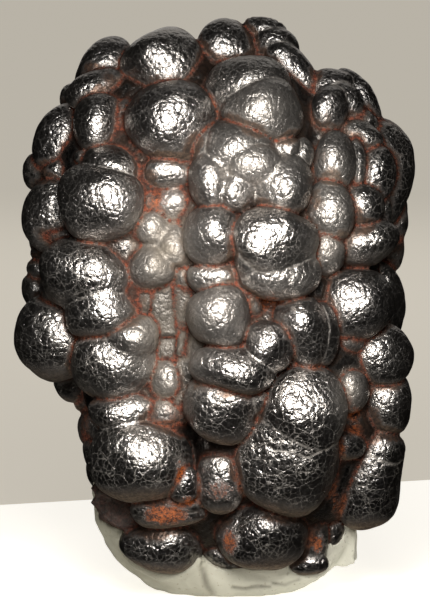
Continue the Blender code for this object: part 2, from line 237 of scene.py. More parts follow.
CENTRE_CLUSTER = [
    (0.9, [
        (9.0, 106.0, 11.5, 9.0, 0, -3), (5.6, 112.2, 6.8, 5.6, 0, 4), (9.8, 107.2, 4.8, 4.6, 0, 6.5),
        (16.4, 102.8, 6.2, 6.0, 0, 5.5), (-1.3, 104.0, 4.3, 6.4, 5, 3.5), (-1.6, 111.4, 3.2, 4.6, 20, 2.5),
        (5.6, 101.2, 3.8, 3.6, 0, 4), (16.8, 112.6, 2.8, 2.8, 0, 3.5), (20.8, 110.0, 2.4, 4.2, 0, 2),
    ]),
    (0.0, [(-0.2, 90.8, 5.4, 6.4, 0, 4)]),
    (0.8, [
        (13.0, 88.0, 10.0, 7.5, 0, -1), (14.3, 89.2, 9.2, 7.4, 0, 6.5), (14.8, 81.8, 8.8, 5.4, 0, 4.2),
        (7.2, 85.4, 2.6, 4.4, 0, 4.5), (20.2, 89.0, 3.8, 5.4, 0, 5),
    ]),
]
RIGHT_RIDGE = [
    (0.4, [
        (32.8, 123.4, 8.6, 7.0, -45, -5), (28.6, 129.8, 4.8, 3.2, 0, 6), (37.6, 126.0, 7.6, 2.7, -52, 2.5),
        (33.6, 125.0, 6.2, 2.6, -50, 7.5), (29.0, 122.4, 3.7, 5.6, 0, 2),
    ]),
    (0.4, [(37.0, 119.6, 4.4, 3.2, 0, 2), (36.4, 115.4, 5.0, 3.8, -10, 1.5)]),
    (0.0, [(41.8, 107.6, 7.2, 12.8, 0, -4)]),
    (0.0, [(40.3, 107.2, 3.9, 5.6, 0, 2)]),
    (0.4, [(29.6, 109.2, 4.1, 6.0, 0, 2), (35.0, 108.8, 1.9, 5.0, 0, 1)]),
    (0.0, [(28.5, 96.8, 4.5, 6.4, 0, 2)]),
    (0.0, [(36.6, 98.6, 4.4, 4.5, 0, 2.5)]),
    (0.0, [(42.7, 97.8, 1.5, 3.4, 0, 1)]),
    (0.0, [(46.0, 97.0, 2.6, 6.4, 0, -1)]),
    (0.0, [(37.4, 90.2, 6.7, 4.7, 0, 3)]),
    (0.0, [(44.8, 89.0, 2.6, 5.0, 0, -2)]),
    (0.0, [(35.2, 74.0, 8.0, 8.0, 0, 3)]),
    (0.0, [(33.6, 66.0, 3.4, 3.4, 0, 0)]),
    (0.8, [(44.6, 75.0, 2.8, 8.6, 3, 0), (42.0, 81.8, 2.2, 3.0, 0, -1)]),
    (0.0, [(41.6, 60.4, 6.9, 6.6, 0, 3)]),
    (0.0, [(42.6, 48.9, 6.2, 7.2, 0, 2.5)]),
]
HOLLOW_LUMPS = [
    (0.0, [(-9.3, 98.3, 5.6, 5.2, 0, -1.5)]),
    (0.6, [(-15.6, 92.4, 4.6, 4.0, 0, 0.5), (-10.0, 88.0, 4.8, 4.7, 0, 2), (-15.7, 82.8, 5.0, 5.4, 0, 2.5)]),
    (0.0, [(-16.5, 99.5, 4.0, 4.4, 0, -2)]),
    (0.0, [(-6.8, 80.5, 3.4, 4.2, 0, 0)]),
    (0.0, [(-12.3, 55.0, 4.4, 5.6, 0, -1)]),
    (0.0, [(-12.0, 46.3, 4.6, 4.6, 0, -1)]),
    (0.0, [(27.2, 87.0, 4.2, 4.6, 0, 1)]),
    (0.0, [(33.9, 52.2, 3.1, 4.4, 0, 1.5)]),
]
LOWER_LUMPS = [
    (0.0, [(0.0, 80.6, 5.6, 3.9, -15, 1)]),
    (0.0, [(1.2, 71.3, 6.8, 6.1, 0, 4.5)]),
    (0.0, [(8.9, 75.2, 4.2, 2.4, -60, 1)]),
    (0.8, [(4.4, 57.9, 7.8, 5.5, -8, 6), (12.9, 63.4, 4.9, 4.7, 20, 5.5)]),
    (1.2, [(2.4, 49.4, 8.6, 7.6, 10, 3), (9.6, 50.6, 4.0, 3.4, -15, 3)]),
    (1.6, [(21.6, 67.6, 4.8, 7.4, 12, 4.5), (26.4, 66.4, 3.6, 6.2, 5, 2.5)]),
    (2.5, [(21.6, 48.2, 9.2, 9.4, 0, 5), (17.4, 37.2, 12.6, 13.8, 0, 1.5)]),
    (2.5, [(38.8, 30.4, 7.6, 12.4, -8, 2), (40.8, 37.4, 5.4, 5.0, 0, 1)]),
    (0.0, [(32.0, 39.5, 3.6, 4.0, 30, 0)]),
    (1.0, [(-21.8, 46.8, 7.8, 4.4, 0, 2.5), (-18.6, 35.2, 11.0, 9.6, -8, 5)]),
    (0.0, [(-31.7, 42.0, 2.2, 9.0, 0, -3)]),
    (0.0, [(-13.4, 13.4, 8.3, 6.0, 0, 4)]),
    (0.8, [(-11.6, 22.2, 7.6, 3.8, 0, 2), (-8.4, 24.6, 4.2, 2.4, 0, 3)]),
    (0.0, [(-7.8, 29.4, 3.2, 3.6, 0, 5)]),
    (0.0, [(1.5, 30.6, 4.8, 6.6, -8, 1.5)]),
    (0.0, [(12.0, 16.4, 9.8, 7.9, -8, 4)]),
    (0.0, [(2.9, 9.5, 4.8, 3.0, -28, 5)]),
    (0.6, [(24.9, 15.0, 3.0, 5.0, 0, 5), (23.4, 8.9, 4.0, 2.2, 8, 4.8)]),
    (0.0, [(28.6, 16.4, 3.4, 3.4, 0, 0.5)]),
]
FACE_COLONIES = LEFT_RIDGE + CROWN + CENTRE_CLUSTER + RIGHT_RIDGE + HOLLOW_LUMPS + LOWER_LUMPS

# Lumps of the sides, in rings behind the face: f, share of the outline, number, smallest and largest.
SIDE_RINGS = [(-9.0, 1.0, 26, 6.0, 9.0), (-21.0, 0.95, 24, 6.0, 9.5)]
SIDE_INSET = 1.2
SIDE_WANDER = 2.0
SIDE_SEED = 7

# Broken columns in the hollow, then broken ledges at the lower left, which the finish colours dark: their
# own red-brown with painted shade.
# Each: x, z, f, half width, half height, half depth, turn in degrees.
COLUMNS = [
    (-12.3, 72.0, 14.5, 3.0, 5.6, 5.0, 2.0),
    (-11.6, 63.6, 13.5, 2.8, 2.8, 5.0, -4.0),
    (-7.4, 73.2, 15.0, 2.2, 4.8, 5.0, 8.0),
    (-7.0, 65.4, 14.5, 1.9, 3.6, 5.0, -6.0),
    (-18.0, 76.0, 14.5, 2.4, 4.0, 5.0, -12.0),
]
LEDGES = [
    (-25.0, 27.2, 2.0, 5.4, 2.2, 5.0, -32.0),
    (-26.8, 23.8, 2.5, 3.8, 1.8, 4.5, -36.0),
    (-22.5, 23.0, 3.0, 4.6, 1.9, 4.5, -28.0),
    (-23.8, 20.2, 2.0, 4.2, 1.4, 4.5, -32.0),
]

# Broken faces of the back: a point (x, f, z) and the way that the face looks (x, f, z).
BREAKS = [
    ((0.0, -28.0, 80.0), (0.05, -1.0, 0.06)),
    ((20.0, -26.0, 104.0), (0.30, -1.0, 0.35)),
    ((-18.0, -25.5, 108.0), (-0.40, -1.0, 0.22)),
    ((22.0, -25.5, 50.0), (0.38, -1.0, -0.28)),
    ((-20.0, -26.5, 56.0), (-0.28, -1.0, -0.30)),
    ((34.0, -20.0, 70.0), (0.80, -1.0, -0.10)),
    ((-34.0, -21.0, 84.0), (-0.85, -1.0, 0.12)),
    ((4.0, -20.0, 124.0), (0.10, -1.0, 0.85)),
    ((0.0, -24.5, 24.0), (-0.10, -1.0, -0.50)),
]
FOOT_HEIGHT = 4.0


def rim(angle):
    """Radius of the outline at an angle about the middle, by a smooth step between the listed radii."""
    place = (angle / RIM_STEP) % len(RIM)
    first = np.floor(place).astype(int)
    part = place - first
    blend = part * part * (3.0 - 2.0 * part)
    return RIM[first % len(RIM)] * (1.0 - blend) + RIM[(first + 1) % len(RIM)] * blend


def dent(x, z):
    """Depth of the hollows and clefts at a point of the face: a sum of bell-shaped dips."""
    total = 0.0
    for at_x, at_z, half_x, half_z, depth in DENTS:
        total = total + depth * np.exp(-((x - at_x) / half_x) ** 2 - ((z - at_z) / half_z) ** 2)
    return total


def core_height(x, z):
    """Height of the core's front over the face plane: a dome over the outline, less the dents."""
    out_x = x - MIDDLE[0]
    out_z = z - MIDDLE[1]
    share = math.hypot(out_x, out_z) / (rim(math.atan2(out_z, out_x)) - SKIN)
    return FRONT_DEPTH * math.sqrt(max(0.0, 1.0 - share * share)) - dent(x, z)


def grown(size):
    """How many times its seen size a lump's ball is: small lumps more than large ones, so that they meet."""
    return 1.0 + min(GROW_SHARE, GROW_LEAST / size)


def face_ball(x, z, along, across, turn, proud):
    """A lump of the face as a ball: centre x, f, z, half sizes along, deep and across, and turn. Its top is
    the core's height plus a share of its depth and its proud, and near the outline it grows inwards."""
    size = math.sqrt(along * across)
    deep = min(size, LONGEST_DEPTH * min(along, across))
    out_x = x - MIDDLE[0]
    out_z = z - MIDDLE[1]
    out = math.hypot(out_x, out_z)
    edge = min(1.0, out / rim(math.atan2(out_z, out_x))) ** 3
    grow = grown(size)
    inward = (grow - 1.0) * size * edge / max(out, 1.0)
    x -= out_x * inward
    z -= out_z * inward
    top = core_height(x, z) + DOME * deep + proud
    return (x, top - grow * deep, z, grow * along, grow * deep, grow * across, math.radians(turn))


def side_balls():
    """The same for the lumps of the sides, in rings, with a seeded spread of sizes."""
    rows = []
    spread = random.Random(SIDE_SEED)
    for f, share, count, smallest, largest in SIDE_RINGS:
        for index in range(count):
            angle = math.tau * (index + spread.uniform(0.2, 0.8)) / count
            size = spread.uniform(smallest, largest)
            grow = grown(size)
            reach = rim(angle) * share - size * grow - SIDE_INSET
            x = MIDDLE[0] + reach * math.cos(angle)
            z = MIDDLE[1] + reach * math.sin(angle)
            middle = f + spread.uniform(-SIDE_WANDER, SIDE_WANDER)
            flat = size * spread.uniform(0.8, 1.0)
            rows.append((x, middle, z, grow * size, grow * size, grow * flat, angle + math.pi / 2.0))
    return rows


def waves(points, length, seed, count=9):
    """Smooth noise of about -1 to 1: the scaled sum of sine waves of one length in seeded directions."""
    spread = np.random.default_rng(seed)
    ways = spread.normal(size=(count, points.shape[-1]))
    ways *= math.tau / length / np.linalg.norm(ways, axis=1, keepdims=True)
    starts = spread.uniform(0.0, math.tau, count)
    total = 0.0
    for way, start in zip(ways.astype(points.dtype), starts):
        total = total + np.sin(points @ way + points.dtype.type(start))
    return total / math.sqrt(2.0 * count) * 1.3


WANDER = 0.7
WANDER_LENGTH = 17.0


def wander(points):
    """Face points moved a little by smooth noise, so that no lump is a perfect ball."""
    moved = [points[..., i] + WANDER * waves(points, WANDER_LENGTH, 20 + i) for i in range(3)]
    return np.stack(moved, axis=-1)


def ball_distance(points, row):
    """Distance to a stretched ball: k0 (k0 - 1) / k1, with k0 the scaled radius and k1 its slope."""
    x, f, z, along, deep, across, turn = row
    right = points[..., 0] - x
    up = points[..., 2] - z
    u = (right * math.cos(turn) + up * math.sin(turn)) / along
    v = (up * math.cos(turn) - right * math.sin(turn)) / across
    w = (points[..., 1] - f) / deep
    scaled = np.sqrt(u * u + v * v + w * w)
    slope = np.sqrt((u / along) ** 2 + (v / across) ** 2 + (w / deep) ** 2)
    return scaled * (scaled - 1.0) / np.maximum(slope, 1e-6)


def column_distance(points, row):
    """Distance to a turned box with edges a little rounded: how far out of its half sizes a point is."""
    x, z, f, half_x, half_z, half_f, degrees = row
    turn = math.radians(degrees)
    right = points[..., 0] - x
    up = points[..., 2] - z
    past = np.stack([
        np.abs(right * math.cos(turn) + up * math.sin(turn)) - half_x,
        np.abs(up * math.cos(turn) - right * math.sin(turn)) - half_z,
        np.abs(points[..., 1] - f) - half_f,
    ], axis=-1)
    outside = np.linalg.norm(np.maximum(past, 0.0), axis=-1)
    return outside + np.minimum(past.max(axis=-1), 0.0) - 0.2


def core_distance(points):
    """Distance to the core: a ball stretched to the outline, dented in front and deeper behind."""
    out_x = points[..., 0] - MIDDLE[0]
    out_z = points[..., 2] - MIDDLE[1]
    away = np.hypot(out_x, out_z)
    reach = rim(np.arctan2(out_z, out_x)) - SKIN
    f = points[..., 1]
    f = f + np.where(f > 0.0, dent(points[..., 0], points[..., 2]), 0.0)
    depth = np.where(f > 0.0, FRONT_DEPTH, BACK_DEPTH)
    scaled = np.sqrt((away / reach) ** 2 + (f / depth) ** 2)
    slope = np.sqrt((away / reach ** 2) ** 2 + (f / depth ** 2) ** 2)
    return scaled * (scaled - 1.0) / np.maximum(slope, 1e-6)


FIBRE_MIDDLE = (6.0, 62.0)
FIBRES_AROUND = 26.0
FIBRE_DEPTH = 0.55
LEDGE_DEPTH = 1.1


def fracture_relief(points):
    """Depth of the broken back under its flat breaks: fibres that fan out from one point, and ledges."""
    right = points[..., 0] - FIBRE_MIDDLE[0]
    up = points[..., 2] - FIBRE_MIDDLE[1]
    away = np.hypot(right, up)
    around = np.arctan2(up, right) + 0.10 * waves(points, 31.0, 31)

    # Coarse and fine fibres run outwards. The ledges are slow noise cut into flat steps with short slopes.
    fan = np.stack([np.cos(around) * FIBRES_AROUND, np.sin(around) * FIBRES_AROUND, away / 9.0], axis=-1)
    fibre = waves(fan, 7.0, 32) + 0.5 * waves(fan, 3.4, 33)
    level = 1.6 * waves(points * np.array([1.0, 0.3, 1.0], points.dtype), 34.0, 34)
    step = np.floor(level) + np.clip((level - np.floor(level)) * 6.0, 0.0, 1.0)
    grow = np.clip(away / 14.0, 0.25, 1.0)
    return LEDGE_DEPTH * (step + 1.5) * 0.6 + FIBRE_DEPTH * fibre * grow + 0.6


# How softly colonies and ledges join, how far round a lump it counts, and a number for nothing near, in mm.
MELT = 0.6
LEDGE_MELT = 2.4
NEAR = 4.0
FAR = 9.0
GROUPS = [(soft, ball_distance, [face_ball(*lump) for lump in lumps]) for soft, lumps in FACE_COLONIES]
GROUPS += [(0.0, ball_distance, [row]) for row in side_balls()]
GROUPS += [(0.0, column_distance, [row]) for row in COLUMNS]
GROUPS += [(LEDGE_MELT, column_distance, LEDGES)]


def melt(first, other, soft):
    """Smooth smaller of two distances: the smaller, less a quarter of soft times their closeness squared."""
    close = np.maximum(soft - np.abs(first - other), 0.0) / max(soft, 1e-6)
    return np.minimum(first, other) - close * close * soft * 0.25


def reach_of(distance, row):
    """Middle of a lump or a column as a face point, and half the side of the cube that holds it."""
    if distance is column_distance:
        return np.array([row[0], row[2], row[1]]), max(row[3:6]) + NEAR
    return np.array(row[:3]), max(row[3:6]) + NEAR


def break_distance(points, world):
    """Distance to the broken faces behind and the flat foot: the largest distance past any of them."""
    sunk = fracture_relief(points)
    past = FOOT_HEIGHT - world[..., 2]
    for spot, way in BREAKS:
        unit = np.array(way) / np.linalg.norm(way)
        past = np.maximum(past, (points - np.array(spot, points.dtype)) @ unit.astype(points.dtype) + sunk)
    return past


def stone_on_lattice(world):
    """Distance to the stone on a lattice of points in mm: core and colonies melted, less the breaks."""
    face = to_face(world).astype(np.float32)
    bent = wander(face)
    value = core_distance(bent).astype(np.float32)
    edges = [world[:, 0, 0, 0], world[0, :, 0, 1], world[0, 0, :, 2]]
    for soft, distance, rows in GROUPS:
        reaches = [reach_of(distance, row) for row in rows]
        middles = np.array([from_face(middle) for middle, _ in reaches])
        sizes = np.array([size + WANDER for _, size in reaches])[:, None]
        low = (middles - sizes).min(axis=0)
        high = (middles + sizes).max(axis=0)
        block = tuple(slice(*np.searchsorted(edge, (low[i], high[i]))) for i, edge in enumerate(edges))
        joined = distance(bent[block], rows[0])
        for row in rows[1:]:
            joined = melt(joined, distance(bent[block], row), soft)
        value[block] = melt(value[block], joined, MELT)
    return np.maximum(value, break_distance(face, world))


def stone_at(world):
    """At loose world points in mm: the distance, the nearest colony, how far the next colony is and the next
    lump of the same colony, and how far past the breaks the point is."""
    face = to_face(world)
    bent = wander(face)
    value = core_distance(bent)
    first = value.copy()
    second = np.full(len(value), FAR)
    inner = np.full(len(value), FAR)
    owner = np.full(len(value), -1)
    for number, (soft, distance, rows) in enumerate(GROUPS):
        boxes = [reach_of(distance, row) for row in rows]
        held = [np.all(np.abs(bent - middle) < size, axis=1) for middle, size in boxes]
        near = np.flatnonzero(np.any(held, axis=0))
        each = np.array([distance(bent[near], row) for row in rows])
        joined = each[0]
        for part in each[1:]:
            joined = melt(joined, part, soft)
        value[near] = melt(value[near], joined, MELT)
        closer = joined < first[near]
        second[near] = np.where(closer, first[near], np.minimum(second[near], joined))
        first[near] = np.minimum(first[near], joined)
        order = np.sort(each, axis=0)
        gap = order[1] - order[0] if len(rows) > 1 else np.full(len(near), FAR)
        inner[near[closer]] = gap[closer]
        owner[near[closer]] = number
    past = break_distance(face, world)
    return np.maximum(value, past), owner, second - first, inner, past - value


def lattice(low, high, step):
    """World points in mm on a regular lattice between two corners."""
    edges = [np.arange(low[i], high[i] + step, step) for i in range(3)]
    return np.stack(np.meshgrid(*edges, indexing="ij"), axis=-1)


def net(value, low, step):
    """Skin of a lattice's zero level: a point in each cell that it crosses, at the mean of the crossings of
    that cell's edges, and a quad round each lattice edge that it cuts, facing out of the negative side."""
    inside = value < 0.0
    size = np.array(value.shape) - 1
    corners = [(i, j, k) for i in (0, 1) for j in (0, 1) for k in (0, 1)]

    def at(array, corner):
        """The array's values at one corner of every cell."""
        return array[tuple(slice(corner[i], corner[i] + size[i]) for i in range(3))]

    filled = sum(at(inside, corner).astype(np.int8) for corner in corners)
    crossed = (filled > 0) & (filled < 8)
    number = np.full(size, -1)
    number[crossed] = np.arange(crossed.sum())
    total = np.zeros((int(crossed.sum()), 3))
    hits = np.zeros(len(total))
    for corner in corners:
        for axis in range(3):
            if corner[axis]:
                continue
            other = tuple(corner[i] + (i == axis) for i in range(3))
            start = at(value, corner)[crossed]
            end = at(value, other)[crossed]
            cut = (start < 0.0) != (end < 0.0)
            spot = np.tile(np.array(corner, float), (int(cut.sum()), 1))
            spot[:, axis] += start[cut] / (start[cut] - end[cut])
            total[cut] += spot
            hits += cut
    points = np.array(low) + step * (np.argwhere(crossed) + total / hits[:, None])
    quads = []
    for axis in range(3):
        across = (axis + 1) % 3
        up = (axis + 2) % 3
        start = np.take(inside, range(size[axis]), axis)
        end = np.take(inside, range(1, size[axis] + 1), axis)
        spots = np.argwhere(start != end)
        sides = spots[:, [across, up]]
        spots = spots[(sides > 0).all(axis=1) & (sides < size[[across, up]]).all(axis=1)]
        ring = []
        for back, down in ((1, 1), (0, 1), (0, 0), (1, 0)):
            cell = spots.copy()
            cell[:, across] -= back
            cell[:, up] -= down
            ring.append(number[tuple(cell.T)])
        ring = np.stack(ring, axis=1)
        inward = ~start[tuple(spots.T)]
        ring[inward] = ring[inward][:, ::-1]
        quads.append(ring)
    return points, np.concatenate(quads)


def new_piece(name, points, quads):
    """A smooth-shaded object at the origin from world points in mm and rows of four corner numbers."""
    mesh = bpy.data.meshes.new(name)
    mesh.vertices.add(len(points))
    mesh.vertices.foreach_set("co", (points * MM).ravel())
    mesh.loops.add(quads.size)
    mesh.loops.foreach_set("vertex_index", quads.ravel())
    mesh.polygons.add(len(quads))
    mesh.polygons.foreach_set("loop_start", np.arange(0, quads.size, 4))
    mesh.update(calc_edges=True)
    mesh.validate()
    mesh.shade_smooth()
    piece = bpy.data.objects.new(name, mesh)
    bpy.context.scene.collection.objects.link(piece)
    return piece


def read(mesh, what):
    """A mesh's vertex positions or normals as rows of three."""
    flat = np.empty(len(mesh.vertices) * 3)
    mesh.vertices.foreach_get(what, flat)
    return flat.reshape(-1, 3)


def thin_out(piece, triangles):
    """Collapses a piece's least needed edges until it has no more than so many triangles."""
    piece.data.calc_loop_triangles()
    fewer = piece.modifiers.new("fewer", "DECIMATE")
    fewer.ratio = min(1.0, triangles / len(piece.data.loop_triangles))
    fewer.use_collapse_triangulate = True
    bpy.context.view_layer.update()
    graph = bpy.context.evaluated_depsgraph_get()
    thinned = bpy.data.meshes.new_from_object(piece.evaluated_get(graph))
    piece.modifiers.clear()
    piece.data = thinned
    thinned.shade_smooth()


def keep_attribute(mesh, name, values):
    """Writes one number a vertex into the mesh, for its material to read."""
    held = mesh.attributes.new(name, "FLOAT", "POINT")
    held.data.foreach_set("value", np.ascontiguousarray(values, dtype=np.float32))


BUMP_CELL = 5.0
BUMP_DEPTH = 0.32
SMALL_CELL = 2.6
SMALL_DEPTH = 0.10
BUMP_MEAN = 0.6
CREASE_DEPTH = 0.30
CREASE_WIDTH = 0.9
SEAM_DEPTH = 0.16
SEAM_WIDTH = 0.8
HASH_PRIMES = np.array([73856093, 19349663, 83492791])
HASH_RATES = (0.0127, 0.0311, 0.0573)
HASH_SPREAD = 43758.5453


def cell_bumps(points, cell, seed):
    """Rounded bumps from 0 to 1: one less the squared distance to the nearest of one seeded point a cell.
    A point's place in its cell is what is left after the comma of large multiples of sines of its key."""
    home = np.floor(points / cell).astype(np.int64)
    nearest = np.full(len(points), FAR)
    for shift in np.ndindex(3, 3, 3):
        corner = home + np.array(shift) - 1
        key = corner @ HASH_PRIMES + seed
        spots = [np.modf(np.abs(np.sin(key * rate) * HASH_SPREAD))[0] for rate in HASH_RATES]
        gap = (corner + np.stack(spots, axis=1)) - points / cell
        nearest = np.minimum(nearest, (gap * gap).sum(axis=1))
    return np.clip(1.0 - nearest, 0.0, 1.0)


# Wrinkles across the lumps, each a run of face points (x, z), then its width and depth.
WRINKLES = [
    (
        ((9.6, 39.6), (13.6, 39.2), (17.2, 38.2), (20.8, 37.0), (23.2, 36.8), (26.3, 38.2), (29.0, 39.4)),
        0.5, 0.35,
    ),
    (((20.8, 37.0), (18.8, 33.6), (16.4, 29.6), (13.6, 28.0)), 0.5, 0.3),
    (((9.6, 41.6), (10.8, 37.2), (11.6, 33.4)), 0.45, 0.25),
    (((13.8, 49.6), (17.0, 47.6), (20.6, 47.2), (23.8, 43.4), (24.6, 39.0)), 0.45, 0.25),
    (((31.4, 28.6), (35.0, 28.9), (40.0, 28.2), (45.5, 28.8)), 0.45, 0.3),
    (((33.5, 34.8), (35.9, 33.6), (38.7, 34.0), (40.6, 36.4), (44.6, 37.2)), 0.45, 0.25),
    (((18.75, 84.6), (18.4, 80.6), (17.5, 77.4)), 0.45, 0.25),
    (((-44.0, 68.4), (-41.8, 64.6), (-40.6, 60.0)), 0.45, 0.25),
    (((4.9, 22.0), (6.8, 17.6), (6.2, 12.4)), 0.45, 0.25),
    (((4.6, 10.4), (9.8, 12.0), (15.6, 12.0), (19.6, 14.8)), 0.45, 0.2),
]


def grooves(face, runs):
    """Depth of grooves at face points: for each run of points, a bell across its nearest stretch."""
    total = np.zeros(face.shape[:-1])
    for run, width, depth in runs:
        nearest = np.full(face.shape[:-1], 99.0)
        for start, end in zip(run[:-1], run[1:]):
            way = (end[0] - start[0], end[1] - start[1])
            right = face[..., 0] - start[0]
            up = face[..., 2] - start[1]
            part = np.clip((right * way[0] + up * way[1]) / (way[0] ** 2 + way[1] ** 2), 0.0, 1.0)
            nearest = np.minimum(nearest, np.hypot(right - part * way[0], up - part * way[1]))
        total = np.maximum(total, depth * np.exp(-(nearest / width) ** 2))
    return total * np.clip(face[..., 1] / 6.0, 0.0, 1.0)


# Crackled patches of the face: x, z, half width, half height, strength.
CRACKLE_PATCHES = [
    (-19.0, 35.0, 16.0, 14.0, 1.0), (18.0, 38.0, 18.0, 20.0, 0.9), (10.0, 16.0, 13.0, 9.0, 0.9),
    (39.0, 30.0, 9.0, 14.0, 0.8), (-26.0, 60.0, 14.0, 10.0, 0.6), (-13.0, 13.0, 10.0, 7.0, 0.7),
    (-34.0, 82.0, 10.0, 12.0, 0.6), (40.0, 106.0, 10.0, 16.0, 0.5), (0.0, 128.0, 14.0, 10.0, 0.45),
    (2.0, 50.0, 12.0, 10.0, 0.6), (14.0, 84.0, 12.0, 9.0, 0.5),
]

# Rust patches of the face: x, z, half width, half height, strength.
RUST_PATCHES = [
    (-12.0, 22.3, 9.0, 4.0, 1.2), (-6.6, 26.0, 4.0, 3.0, 0.95), (30.0, 25.0, 4.0, 9.0, 0.9),
    (34.5, 46.0, 4.0, 9.0, 0.9), (-12.0, 46.0, 6.0, 6.0, 0.7), (23.5, 114.0, 3.5, 22.0, 0.64),
    (-0.5, 124.0, 3.0, 13.0, 0.6), (-13.0, 99.0, 7.0, 5.0, 0.75), (13.5, 75.0, 5.0, 5.0, 0.9),
    (25.5, 14.5, 3.5, 5.5, 1.0), (1.2, 28.4, 9.0, 7.0, 0.88), (32.0, 39.0, 3.0, 5.0, 0.85),
    (24.0, 60.0, 5.0, 6.0, 0.7), (-26.0, 26.0, 5.0, 5.0, 0.6), (3.6, 15.5, 4.0, 7.0, 1.0),
    (-8.6, 33.6, 2.4, 6.5, 0.92), (-33.0, 46.0, 3.0, 7.0, 0.9), (-33.0, 72.0, 11.0, 24.0, 0.64),
]

# Dusty patches of the face: x, z, half width, half height, strength.
DUST_PATCHES = [
    (-12.5, 88.0, 6.5, 10.0, 1.0), (-11.0, 68.0, 8.0, 12.0, 0.9), (-12.0, 52.0, 5.0, 6.0, 0.6),
    (1.2, 72.5, 7.5, 8.0, 0.42), (8.0, 108.0, 13.0, 9.0, 0.36), (28.0, 88.0, 5.0, 5.0, 0.5),
    (33.0, 52.0, 4.0, 6.0, 0.6), (28.5, 102.0, 6.0, 16.0, 0.32), (12.0, 121.6, 9.0, 7.0, 0.3),
    (-4.0, 91.0, 5.0, 7.0, 0.2), (17.0, 80.0, 8.0, 4.0, 0.2),
]


def patches(face, rows):
    """The strongest of some bell-shaped patches of the face at each face point, and none behind the face."""
    total = np.zeros(len(face))
    for x, z, half_x, half_z, strength in rows:
        bell = np.exp(-((face[:, 0] - x) / half_x) ** 2 - ((face[:, 2] - z) / half_z) ** 2)
        total = np.maximum(total, strength * bell)
    return total * np.clip((face[:, 1] + 8.0) / 8.0, 0.0, 1.0)


STONE_STEP = 0.75
STONE_TRIANGLES = 196000
low, high = (np.array(corner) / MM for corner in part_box("hematite"))
low = low - 2.0
high = high + 2.0
places = lattice(low, high, STONE_STEP)
stone_lattice = stone_on_lattice(places)
hematite = new_piece("hematite_stone", *net(stone_lattice, low, STONE_STEP))
thin_out(hematite, STONE_TRIANGLES)
del places

skin = read(hematite.data, "co") / MM
for _ in range(2):
    facing = read(hematite.data, "normal")
    skin -= facing * np.clip(stone_at(skin)[0], -0.8, 0.8)[:, None]
    hematite.data.vertices.foreach_set("co", (skin * MM).ravel())
    hematite.data.update()
facing = read(hematite.data, "normal")
_, owner, crease, inner, broken = stone_at(skin)
face = to_face(skin)
broken = np.clip(broken / 0.4 + 0.5, 0.0, 1.0)
ledge = owner == len(GROUPS) - 1
column = (owner >= len(GROUPS) - 1 - len(COLUMNS)) & ~ledge
broken = np.maximum(broken, 0.8 * ledge)
swell = BUMP_DEPTH * (cell_bumps(face, BUMP_CELL, 5) - BUMP_MEAN)
swell = swell + SMALL_DEPTH * (cell_bumps(face, SMALL_CELL, 9) - BUMP_MEAN)
sink = CREASE_DEPTH * np.exp(-(np.maximum(crease, 0.0) / CREASE_WIDTH) ** 2)
sink = sink + SEAM_DEPTH * np.exp(-(inner / SEAM_WIDTH) ** 2)
lines = grooves(face + 0.5 * waves(face, 6.0, 41)[:, None], WRINKLES)
skin += facing * ((swell * np.clip(crease / 1.5, 0.2, 1.0) - sink - lines) * (1.0 - broken))[:, None]
hematite.data.vertices.foreach_set("co", (skin * MM).ravel())
hematite.data.update()
tones = np.random.default_rng(3).uniform(0.0, 1.0, len(GROUPS) + 1)
for name, values in {
    "crease": np.clip(crease, 0.0, FAR),
    "wrinkle": np.minimum(np.clip(inner, 0.0, FAR), 1.5 - 5.0 * lines),
    "broken": broken,
    # The ledges at the foot, which the finish darkens partly as painted shade.
    "ledge": ledge,
    # The broken columns, which the finish darkens as painted shade.
    "column": column,
    "tone": tones[owner],
    # How far the skin faces down: the mask of the painted reflection of the floor.
    "under": np.clip(-facing[:, 2], 0.0, 1.0),
    # Where no lump owns the skin: the mask of the painted shade in the valleys.
    "valley": owner < 0,
    "crackled": 0.3 + 0.7 * patches(face, CRACKLE_PATCHES),
    "rusty": patches(face, RUST_PATCHES),
    "dusty": patches(face, DUST_PATCHES),
}.items():
    keep_attribute(hematite.data, name, values)
